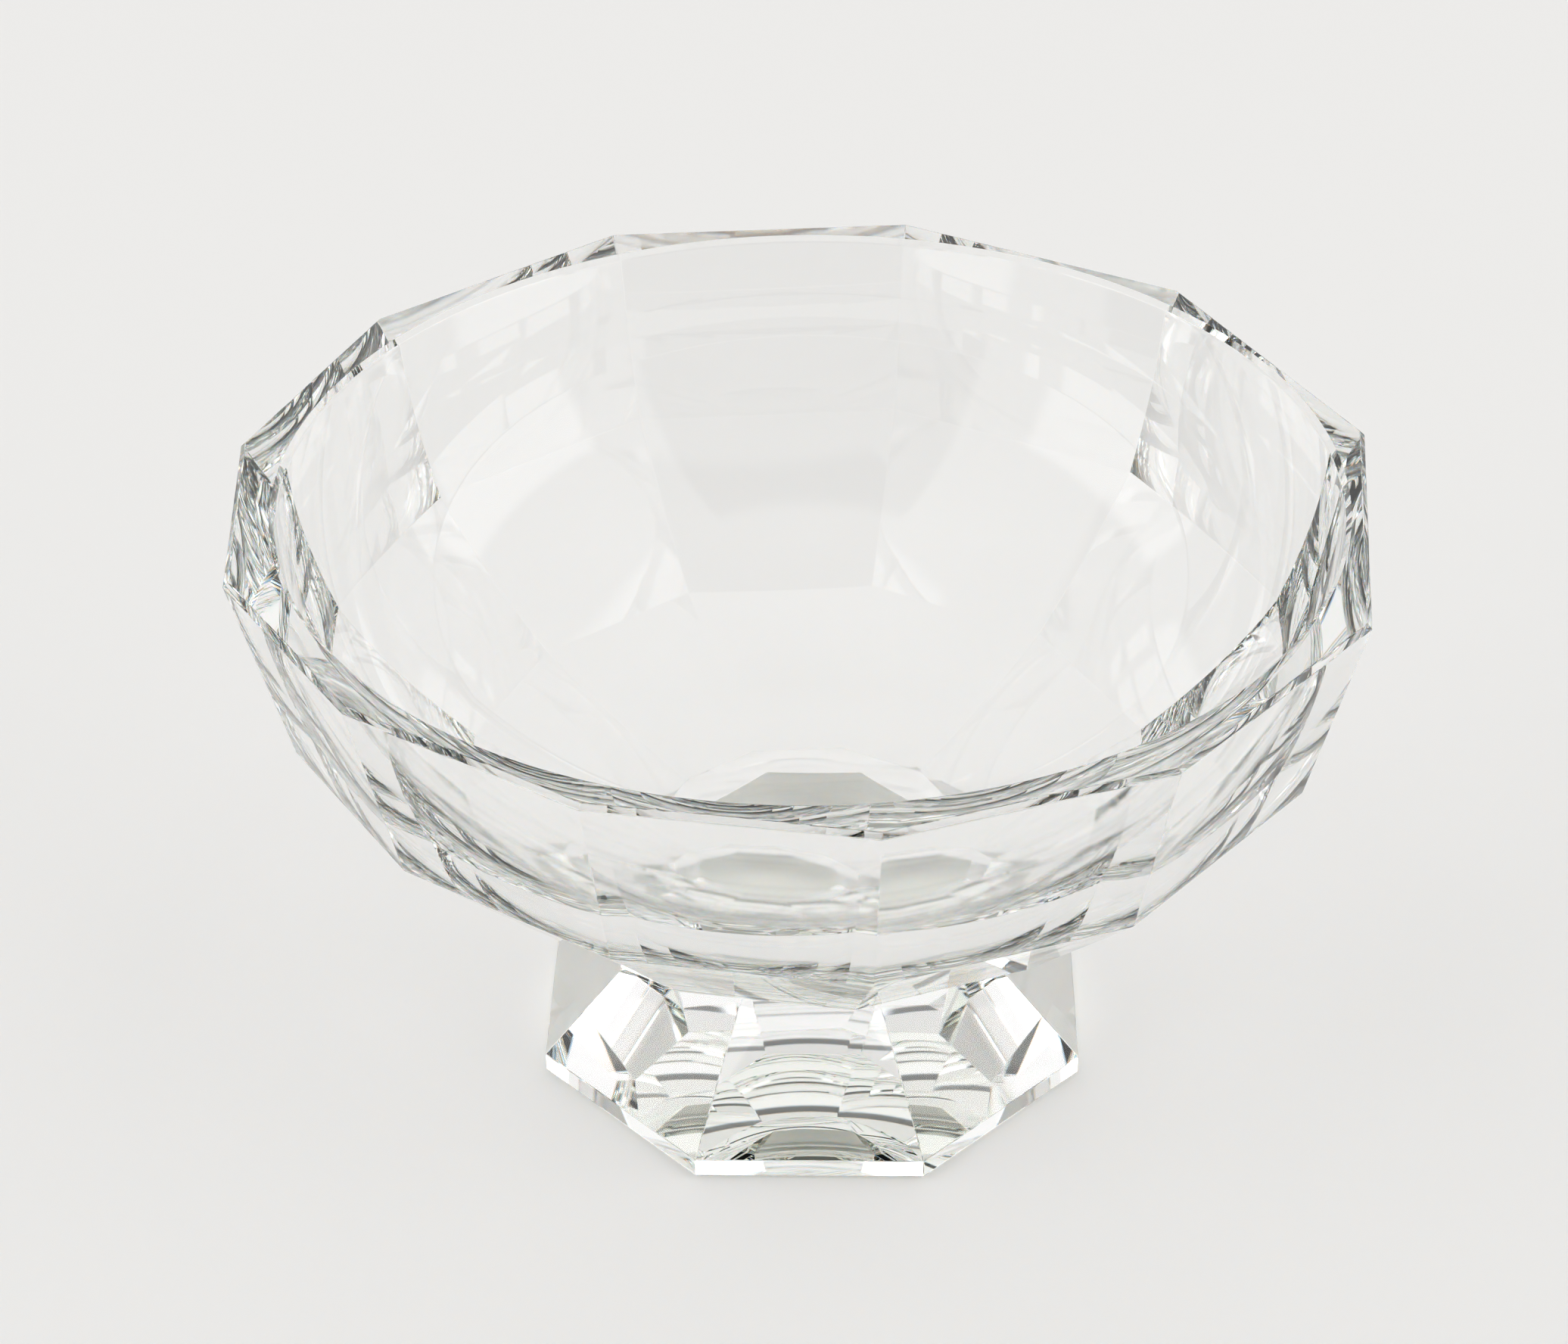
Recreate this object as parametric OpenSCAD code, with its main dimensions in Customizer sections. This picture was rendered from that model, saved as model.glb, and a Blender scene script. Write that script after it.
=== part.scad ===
/* [Bowl] */
// Nominal radius over the corners of the rim
rim_r = 175; // [165:1:185]
// Height of the rim above the table
rim_z = 201; // [195:1:210]
// Radius of the round mouth, as a share of rim_r
mouth_share = 0.914; // [0.9:0.002:0.914]
// Height of the lowest point of the inside above the table
floor_z = 72; // [70:1:78]
// Width and height of the narrow cut round the rim's outer edge
rim_cut = 1.6; // [1:0.1:1.8]
// Width and height of the polished bevel round the mouth
mouth_cut = 1.5; // [1:0.1:1.8]

/* [Foot] */
// Radius over the corners of the foot
foot_r = 93.5; // [85:0.5:100]
// Height of the foot's upright band
band_h = 7; // [5:0.5:10]
// Radius over the corners of the foot's top
neck_r = 42; // [38:0.5:46]
// Height of the foot's top above the table
neck_z = 58.5; // [56:0.5:60]
// How far the bowl's flat base reaches past the foot's top, corner to corner
seat_step = 12; // [8:0.5:14]
// Width and height of the bevel round the foot's base
base_cut = 0.8; // [0.4:0.1:1.5]
// How far the foot is turned from facing square to the front
foot_turn = -1; // [-3:0.5:3]

/* [Bond] */
// Thickness of the clear adhesive between the foot and the bowl
bond_t = 0.2; // [0.1:0.05:0.4]

/* [Hidden] */

// Each rim corner: its direction in degrees, and its share of the nominal radius.
// The twelve walls are cut by hand, so they are not all of one width.
rim_corners = [
    [10, 0.99], [45, 0.983], [79, 0.99], [112, 1.01], [143, 1.005], [171, 1.01],
    [197, 1.015], [222, 0.99], [249, 0.985], [276, 1.005], [304, 1.01], [334, 1.01]
];

// The two ridges between the three rows of walls, as shares of rim_r and rim_z.
low_ridge = [0.647, 0.45];
high_ridge = [0.91, 0.682];

// The corners of the wall, from the seat up to the rim: [radius, height].
seat_r = neck_r + seat_step;
seat_z = neck_z + bond_t;
wall_rows = [
    [seat_r, seat_z],
    [rim_r * low_ridge[0], rim_z * low_ridge[1]],
    [rim_r * high_ridge[0], rim_z * high_ridge[1]],
    [rim_r, rim_z - rim_cut],
    [rim_r - rim_cut, rim_z]
];

foot_sides = 8;
foot_rows = [
    [foot_r - base_cut, 0],
    [foot_r, base_cut],
    [foot_r, band_h],
    [neck_r, neck_z]
];

// The inside is two arcs that meet smoothly: side_r up to the mouth, base_r across the floor.
side_share = 0.89;
mouth_r = rim_r * mouth_share;
depth = rim_z - floor_z;
side_r = depth * side_share;
side_x = mouth_r - side_r;
base_r = (side_x * side_x + depth * depth - side_r * side_r) / (2 * (depth - side_r));
base_z = floor_z + base_r;
join_slope = side_x / (base_z - rim_z);
sector_h = base_r * 1.3;
arc_steps = 96;
turn_steps = 128;

function corners_on_foot() = [
    for (i = [0 : foot_sides - 1])
        let (a = (i + 0.5) * 360 / foot_sides + foot_turn)
        [cos(a), sin(a)]
];

function corners_on_rim() = [
    for (c = rim_corners)
        c[1] * [cos(c[0]), sin(c[0])]
];

// One flat-sided solid: the outline is scaled to each row's radius and set at its height.
module cut_solid(outline, rows) {
    n = len(outline);
    last = len(rows) - 1;
    points = [
        for (row = rows, p = outline)
            [row[0] * p[0], row[0] * p[1], row[1]]
    ];
    sides = [
        for (k = [0 : last - 1], i = [0 : n - 1])
            let (j = (i + 1) % n)
            [k * n + i, (k + 1) * n + i, (k + 1) * n + j, k * n + j]
    ];
    bottom = [for (i = [0 : n - 1]) i];
    top = [for (i = [n - 1 : -1 : 0]) last * n + i];
    polyhedron(points, concat([bottom], sides, [top]));
}

// Half of the inside's outline, from its axis out to the wall.
module inside_outline() {
    intersection() {
        translate([side_x, rim_z]) circle(r = side_r, $fn = arc_steps);
        square([rim_r, rim_z]);
    }
    intersection() {
        translate([0, base_z]) circle(r = base_r, $fn = arc_steps);
        polygon([[0, base_z], [0, base_z - sector_h], [sector_h * join_slope, base_z - sector_h]]);
        square([rim_r, rim_z]);
    }
    polygon([[0, rim_z - mouth_cut], [0, rim_z + 1], [mouth_r + mouth_cut + 1, rim_z + 1],
        [mouth_r, rim_z - mouth_cut]]);
}

// The bowl: walls cut flat outside, smooth and round inside.
module bowl() {
    color([0.9, 0.93, 0.93, 0.35])
    difference() {
        cut_solid(corners_on_rim(), wall_rows);
        rotate_extrude($fn = turn_steps) inside_outline();
    }
}

// The foot: an eight-sided block with sloping sides over a low upright band.
module foot() {
    color([0.9, 0.93, 0.93, 0.35])
    cut_solid(corners_on_foot(), foot_rows);
}

// The bond: a thin film of clear adhesive over the whole of the foot's top.
module bond() {
    color([0.95, 0.95, 0.92, 0.35])
    translate([0, 0, neck_z])
    linear_extrude(bond_t)
    polygon(neck_r * corners_on_foot());
}

bowl();
foot();
bond();
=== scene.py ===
"""The visual layer of a footed punch bowl in clear cut crystal.

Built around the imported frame, in metres, +Z up, with the foot's base on the table at z = 0.
"""

import math

import bmesh
import bpy
from mathutils import Matrix, Vector


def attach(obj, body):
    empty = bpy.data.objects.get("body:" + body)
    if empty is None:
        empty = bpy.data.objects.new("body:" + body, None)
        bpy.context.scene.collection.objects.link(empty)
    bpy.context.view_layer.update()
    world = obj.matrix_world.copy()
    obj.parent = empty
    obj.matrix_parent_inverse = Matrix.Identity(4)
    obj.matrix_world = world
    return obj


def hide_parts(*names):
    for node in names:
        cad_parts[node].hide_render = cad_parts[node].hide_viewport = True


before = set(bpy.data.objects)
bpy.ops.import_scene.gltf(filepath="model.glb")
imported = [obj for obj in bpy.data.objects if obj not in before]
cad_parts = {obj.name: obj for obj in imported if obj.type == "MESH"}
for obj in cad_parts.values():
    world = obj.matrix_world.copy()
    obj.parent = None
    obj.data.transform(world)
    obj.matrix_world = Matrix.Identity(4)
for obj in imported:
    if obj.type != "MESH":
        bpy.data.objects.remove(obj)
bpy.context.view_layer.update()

MM = 0.001

# The same sizes as the part's source, in millimetres.
RIM_R = 175
RIM_Z = 201
MOUTH_SHARE = 0.914
MOUTH_R = RIM_R * MOUTH_SHARE
FLOOR_Z = 72
RIM_CUT = 1.6
MOUTH_CUT = 1.5
FOOT_R = 93.5
BAND_H = 7
NECK_R = 42
NECK_Z = 58.5
BASE_CUT = 0.8
FOOT_TURN = -1
FOOT_SIDES = 8
BOND_T = 0.2
SEAT_STEP = 12
SEAT_R = NECK_R + SEAT_STEP
SEAT_Z = NECK_Z + BOND_T

# Each rim corner: its direction in degrees, and its share of the nominal radius.
RIM_CORNERS = [
    (10, 0.99), (45, 0.983), (79, 0.99), (112, 1.01), (143, 1.005), (171, 1.01),
    (197, 1.015), (222, 0.99), (249, 0.985), (276, 1.005), (304, 1.01), (334, 1.01),
]
# The two ridges between the three rows of walls, as shares of RIM_R and RIM_Z.
LOW_RIDGE = (0.647, 0.45)
HIGH_RIDGE = (0.91, 0.682)
WALL_ROWS = [
    (SEAT_R, SEAT_Z),
    (RIM_R * LOW_RIDGE[0], RIM_Z * LOW_RIDGE[1]),
    (RIM_R * HIGH_RIDGE[0], RIM_Z * HIGH_RIDGE[1]),
    (RIM_R, RIM_Z - RIM_CUT),
    (RIM_R - RIM_CUT, RIM_Z),
]
FOOT_ROWS = [
    (FOOT_R - BASE_CUT, 0),
    (FOOT_R, BASE_CUT),
    (FOOT_R, BAND_H),
    (NECK_R, NECK_Z),
]

# The inside: the side arc's radius as a share of the depth, then the steps of its two arcs and its turn.
SIDE_SHARE = 0.89
BASE_STEPS = 40
SIDE_STEPS = 72
TURNS = 540

# The polished radius on the cut edges, and how far the floor lies below the foot.
EDGE = 0.22
FLOOR_GAP = 0.25
# How near in height two faces are for both to be at one level, in metres, and how upright the normal of a
# level face is.
LEVEL_SLACK = 1e-6
UPRIGHT = 0.999

# The glass: its index, and how far warm and cool glass part in colour and in index.
CRYSTAL_IOR = 1.53
ADHESIVE_IOR = 1.5
TINT = (0.985, 0.986, 0.984)
SPLIT = 0.3
SPREAD = 0.005
CONTACT_TINT = (0.985, 0.988, 0.978, 1)

# The room's light levels, then where its soft boxes are, in degrees: (from, to) round and up.
TENT_LEVEL = 1.05
BOX_LEVEL = 2.5
CORNER_SHARE = 0.5
DARKNESS = 0.88
SIDE_BOX = ((56, 104), (-1, 27))
CORNER_BOX = ((140, 157), (-1, 10))
# How soft the boxes' edges are, in degrees.
BOX_SOFT = 2
# The dark front and the dark strip behind: (where it starts to fade, where it has faded), round and up.
DARK_FRONT = ((37, 40), (58, 64))
DARK_BEHIND = ((157, 161), (5, 8))
ROOM_COLOUR = (1, 0.997, 0.99, 1)
PAPER_COLOUR = (0.86, 0.855, 0.845, 1)
FLOOR_SIDE = 60


# ---------------------------------------------------------------- nodes

def new_material(name):
    material = bpy.data.materials.new(name)
    material.use_nodes = True
    tree = material.node_tree
    tree.nodes.clear()
    out = tree.nodes.new("ShaderNodeOutputMaterial")
    return material, tree, out


def add(tree, kind, **values):
    node = tree.nodes.new(kind)
    for key, value in values.items():
        if key in node.inputs:
            node.inputs[key].default_value = value
        else:
            setattr(node, key, value)
    return node


def glass_material(name, ior):
    """Clear polished glass: a little waviness left by the polishing wheel, and some dispersion.

    Red light bends a little less than blue, so the glass is two even shares of warm and cool glass.
    """
    material, tree, out = new_material(name)
    link = tree.links.new
    coords = add(tree, "ShaderNodeTexCoord")
    waves = add(tree, "ShaderNodeTexNoise", Scale=30.0, Detail=0.0, Roughness=0.4)
    link(coords.outputs["Object"], waves.inputs["Vector"])
    bump = add(tree, "ShaderNodeBump", Strength=0.003, Distance=0.002)
    link(waves.outputs["Fac"], bump.inputs["Height"])
    mix = add(tree, "ShaderNodeMixShader", Fac=0.5)
    for slot, side in ((1, -1), (2, 1)):
        colour = (TINT[0] * (1 - side * SPLIT), TINT[1], TINT[2] * (1 + side * SPLIT), 1)
        glass = add(tree, "ShaderNodeBsdfGlass", Color=colour, Roughness=0.0, IOR=ior + side * SPREAD)
        link(bump.outputs["Normal"], glass.inputs["Normal"])
        link(glass.outputs["BSDF"], mix.inputs[slot])
    link(mix.outputs["Shader"], out.inputs["Surface"])
    return material


def contact_material(name):
    """Faces in full contact through the adhesive: light goes straight on, with no reflection."""
    material, tree, out = new_material(name)
    clear = add(tree, "ShaderNodeBsdfTransparent", Color=CONTACT_TINT)
    tree.links.new(clear.outputs["BSDF"], out.inputs["Surface"])
    return material


def paper_material(name):
    """Plain pale paper with a fine grain."""
    material, tree, out = new_material(name)
    coords = add(tree, "ShaderNodeTexCoord")
    grain = add(tree, "ShaderNodeTexNoise", Scale=900.0, Detail=2.0)
    tree.links.new(coords.outputs["Object"], grain.inputs["Vector"])
    bump = add(tree, "ShaderNodeBump", Strength=0.03, Distance=0.0005)
    tree.links.new(grain.outputs["Fac"], bump.inputs["Height"])
    paper = add(tree, "ShaderNodeBsdfDiffuse", Color=PAPER_COLOUR)
    tree.links.new(bump.outputs["Normal"], paper.inputs["Normal"])
    tree.links.new(paper.outputs["BSDF"], out.inputs["Surface"])
    return material


# ---------------------------------------------------------------- shapes

def direction(degrees):
    return Vector((math.cos(math.radians(degrees)), math.sin(math.radians(degrees)), 0))


def rim_outline():
    return [share * direction(a) for a, share in RIM_CORNERS]


def foot_outline():
    return [direction((i + 0.5) * 360 / FOOT_SIDES + FOOT_TURN) for i in range(FOOT_SIDES)]


def new_ring(bm, outline, radius, z):
    """The outline scaled to a radius and set at a height, both in millimetres, as vertices."""
    return [bm.verts.new((p.x * radius * MM, p.y * radius * MM, z * MM)) for p in outline]


def join_rings(bm, low, high):
    """Faces from one ring up to the next, facing out."""
    n = len(low)
    faces = []
    for i in range(n):
        j = (i + 1) % n
        faces.append(bm.faces.new((low[i], low[j], high[j], high[i])))
    return faces


def cut_solid(outline, rows):
    """A closed flat-sided solid in bmesh, with the same rows as the part's source."""
    bm = bmesh.new()
    rings = [new_ring(bm, outline, r, z) for r, z in rows]
    for low, high in zip(rings, rings[1:]):
        join_rings(bm, low, high)
    bm.faces.new(list(reversed(rings[0])))
    bm.faces.new(rings[-1])
    bm.normal_update()
    return bm


def at_level(item_z, z):
    """True if a height in metres is the given one in millimetres."""
    return abs(item_z - z * MM) < LEVEL_SLACK


def soften(bm, keep_z):
    """A tiny polished radius on every edge but those of the joint's face."""
    edges = [e for e in bm.edges if not all(at_level(v.co.z, keep_z) for v in e.verts)]
    bmesh.ops.bevel(bm, geom=edges, offset=EDGE * MM, segments=2, profile=0.5,
                    affect="EDGES", clamp_overlap=True)
    bm.normal_update()


def mark_contact(bm, z):
    """Puts the flat face at this height in the second material slot."""
    for face in bm.faces:
        if abs(face.normal.z) > UPRIGHT and at_level(face.calc_center_median().z, z):
            face.material_index = 1


def split_seat(bm):
    """Splits the bowl's flat base into the joint's octagon and the open band round it."""
    base = min(bm.faces, key=lambda f: f.calc_center_median().z)
    edges = list(base.edges)
    bmesh.ops.delete(bm, geom=[base], context="FACES_ONLY")
    ring = new_ring(bm, foot_outline(), NECK_R, SEAT_Z)
    edges += [bm.edges.new((a, b)) for a, b in zip(ring, ring[1:] + ring[:1])]
    bmesh.ops.triangle_fill(bm, use_beauty=True, use_dissolve=False, edges=edges, normal=(0, 0, -1))
    joint = bm.faces.new(list(reversed(ring)))
    joint.material_index = 1


def inside_profile():
    """The inside from near the middle of the floor up to the land, as (radius, height)."""
    depth = RIM_Z - FLOOR_Z
    side_r = depth * SIDE_SHARE
    side_x = MOUTH_R - side_r
    base_r = (side_x ** 2 + depth ** 2 - side_r ** 2) / (2 * (depth - side_r))
    base_z = FLOOR_Z + base_r
    join = math.atan2(side_x, base_z - RIM_Z)
    points = []
    for i in range(1, BASE_STEPS):
        a = join * i / BASE_STEPS
        points.append((base_r * math.sin(a), base_z - base_r * math.cos(a)))
    top = math.pi / 2 - math.asin(MOUTH_CUT / side_r)
    for i in range(SIDE_STEPS + 1):
        a = join + (top - join) * i / SIDE_STEPS
        points.append((side_x + side_r * math.sin(a), RIM_Z - side_r * math.cos(a)))
    points.append((MOUTH_R + MOUTH_CUT, RIM_Z))
    return points


def turn_inside(bm):
    """The smooth round inside, with the bevel round the mouth left flat."""
    circle = [direction(360 * i / TURNS) for i in range(TURNS)]
    rings = [new_ring(bm, circle, r, z) for r, z in inside_profile()]
    middle = bm.verts.new((0, 0, FLOOR_Z * MM))
    faces = []
    for i in range(TURNS):
        faces.append(bm.faces.new((middle, rings[0][i], rings[0][(i + 1) % TURNS])))
    for low, high in zip(rings, rings[1:-1]):
        faces += join_rings(bm, low, high)
    for face in faces:
        face.smooth = True
    join_rings(bm, rings[-2], rings[-1])


def bowl_mesh():
    bm = cut_solid(rim_outline(), WALL_ROWS)
    soften(bm, SEAT_Z)
    split_seat(bm)
    top = max(bm.faces, key=lambda f: f.calc_center_median().z)
    bmesh.ops.delete(bm, geom=[top], context="FACES_ONLY")
    turn_inside(bm)
    edges = [e for e in bm.edges if len(e.link_faces) == 1 and at_level(e.verts[0].co.z, RIM_Z)]
    bmesh.ops.triangle_fill(bm, use_beauty=True, use_dissolve=False, edges=edges, normal=(0, 0, 1))
    return bm


def foot_mesh():
    bm = cut_solid(foot_outline(), FOOT_ROWS)
    soften(bm, NECK_Z)
    mark_contact(bm, NECK_Z)
    return bm


def bond_mesh():
    bm = cut_solid(foot_outline(), [(NECK_R, NECK_Z), (NECK_R, SEAT_Z)])
    mark_contact(bm, NECK_Z)
    mark_contact(bm, SEAT_Z)
    return bm


def floor_mesh():
    bm = bmesh.new()
    half = FLOOR_SIDE / 2
    corners = ((-half, -half), (half, -half), (half, half), (-half, half))
    bm.faces.new([bm.verts.new((x, y, -FLOOR_GAP * MM)) for x, y in corners])
    return bm


def new_object(name, bm, materials):
    bmesh.ops.recalc_face_normals(bm, faces=bm.faces)
    mesh = bpy.data.meshes.new(name)
    bm.to_mesh(mesh)
    bm.free()
    for material in materials:
        mesh.materials.append(material)
    obj = bpy.data.objects.new(name, mesh)
    bpy.context.scene.collection.objects.link(obj)
    return obj


# ---------------------------------------------------------------- the pieces

crystal = glass_material("crystal_clear", CRYSTAL_IOR)
adhesive = glass_material("clear_adhesive", ADHESIVE_IOR)
contact = contact_material("joint_contact")

PIECES = [
    ("bowl_glass", bowl_mesh, crystal, "bowl", "crystal"),
    ("foot_glass", foot_mesh, crystal, "foot", "crystal"),
    ("bond_film", bond_mesh, adhesive, "bond", "adhesive"),
]
for name, make_mesh, glass, node, slot in PIECES:
    piece = new_object(name, make_mesh(), [glass, contact])
    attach(piece, "root")
    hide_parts(node)


# ---------------------------------------------------------------- the studio

def ramp(tree, value, low, high, start=0.0, end=1.0):
    """A smooth step from start to end as value goes from low to high."""
    node = add(tree, "ShaderNodeMapRange", interpolation_type="SMOOTHSTEP")
    for socket, number in (("From Min", low), ("From Max", high), ("To Min", start), ("To Max", end)):
        node.inputs[socket].default_value = number
    tree.links.new(value, node.inputs["Value"])
    return node.outputs["Result"]


def maths(tree, operation, *values):
    node = add(tree, "ShaderNodeMath", operation=operation)
    for socket, value in zip(node.inputs, values):
        if isinstance(value, (int, float)):
            socket.default_value = value
        else:
            tree.links.new(value, socket)
    return node.outputs[0]


def band(tree, value, low, high):
    """One between low and high, with a soft edge on each side."""
    rising = ramp(tree, value, low - BOX_SOFT, low + BOX_SOFT)
    falling = ramp(tree, value, high - BOX_SOFT, high + BOX_SOFT, 1, 0)
    return maths(tree, "MULTIPLY", rising, falling)


def soft_box(tree, turn, rise, place):
    round_range, up_range = place
    return maths(tree, "MULTIPLY", band(tree, turn, *round_range), band(tree, rise, *up_range))


def studio_room():
    """A pale tent with a soft box on each side and a dimmer one low towards each back corner.

    It is dark round the camera, up to well above it, and in a low strip behind.
    """
    world = bpy.data.worlds.new("studio_room")
    bpy.context.scene.world = world
    world.use_nodes = True
    tree = world.node_tree
    coords = add(tree, "ShaderNodeTexCoord")
    split = add(tree, "ShaderNodeSeparateXYZ")
    tree.links.new(coords.outputs["Generated"], split.inputs["Vector"])
    x, y, z = split.outputs
    # Turn is 0 towards the camera, 90 at each side and 180 behind; rise is 90 overhead.
    turn = maths(tree, "ABSOLUTE", maths(tree, "ARCTAN2", x, maths(tree, "MULTIPLY", y, -1.0)))
    turn = maths(tree, "DEGREES", turn)
    rise = maths(tree, "DEGREES", maths(tree, "ARCSINE", z))

    side = soft_box(tree, turn, rise, SIDE_BOX)
    corner = soft_box(tree, turn, rise, CORNER_BOX)
    boxes = maths(tree, "MAXIMUM", side, maths(tree, "MULTIPLY", corner, CORNER_SHARE))
    front = maths(tree, "MULTIPLY", ramp(tree, turn, *DARK_FRONT[0], 1, 0),
                  ramp(tree, rise, *DARK_FRONT[1], 1, 0))
    behind = maths(tree, "MULTIPLY", ramp(tree, turn, *DARK_BEHIND[0]),
                   ramp(tree, rise, *DARK_BEHIND[1], 1, 0))
    dark = maths(tree, "MULTIPLY", maths(tree, "MAXIMUM", front, behind), DARKNESS)

    lit = maths(tree, "ADD", maths(tree, "MULTIPLY", boxes, BOX_LEVEL - TENT_LEVEL), TENT_LEVEL)
    level = maths(tree, "MULTIPLY", lit, maths(tree, "SUBTRACT", 1.0, dark))
    background = tree.nodes["Background"]
    background.inputs["Color"].default_value = ROOM_COLOUR
    tree.links.new(level, background.inputs["Strength"])


studio_room()
new_object("studio_floor", floor_mesh(), [paper_material("studio_floor")])


# ---------------------------------------------------------------- the camera

TILT = math.radians(35.77)
ROLL = math.radians(-0.36)
DISTANCE = 1.1265
AIM = Vector((0, 0, RIM_Z * MM / 2))
# Millimetres, and how far the picture is shifted, as shares of its width.
SENSOR = 36
LENS = 81.63
SHIFT = (-0.0177, 0.054)


def place_camera():
    """Looks down on the bowl from the front, with a slight roll."""
    back = Vector((0, -math.cos(TILT), math.sin(TILT)))
    up = Vector((0, math.sin(TILT), math.cos(TILT)))
    right = Vector((1, 0, 0))
    cam_x = right * math.cos(ROLL) + up * math.sin(ROLL)
    cam_y = up * math.cos(ROLL) - right * math.sin(ROLL)
    turned = Matrix((cam_x, cam_y, back)).transposed().to_4x4()
    data = bpy.data.cameras.new("camera")
    data.sensor_width = SENSOR
    data.lens = LENS
    data.shift_x, data.shift_y = SHIFT
    camera = bpy.data.objects.new("camera", data)
    camera.matrix_world = Matrix.Translation(AIM + back * DISTANCE) @ turned
    bpy.context.scene.collection.objects.link(camera)
    bpy.context.scene.camera = camera


place_camera()

scene = bpy.context.scene
scene.view_settings.view_transform = "Standard"
# Enough bounces for light to find its way out of thick cut glass.
scene.cycles.max_bounces = 14
scene.cycles.transmission_bounces = 14
scene.cycles.glossy_bounces = 16
scene.cycles.diffuse_bounces = 3
scene.cycles.transparent_max_bounces = 32
scene.cycles.caustics_refractive = True
scene.cycles.caustics_reflective = True
scene.cycles.blur_glossy = 0.0
scene.cycles.sample_clamp_indirect = 8.0
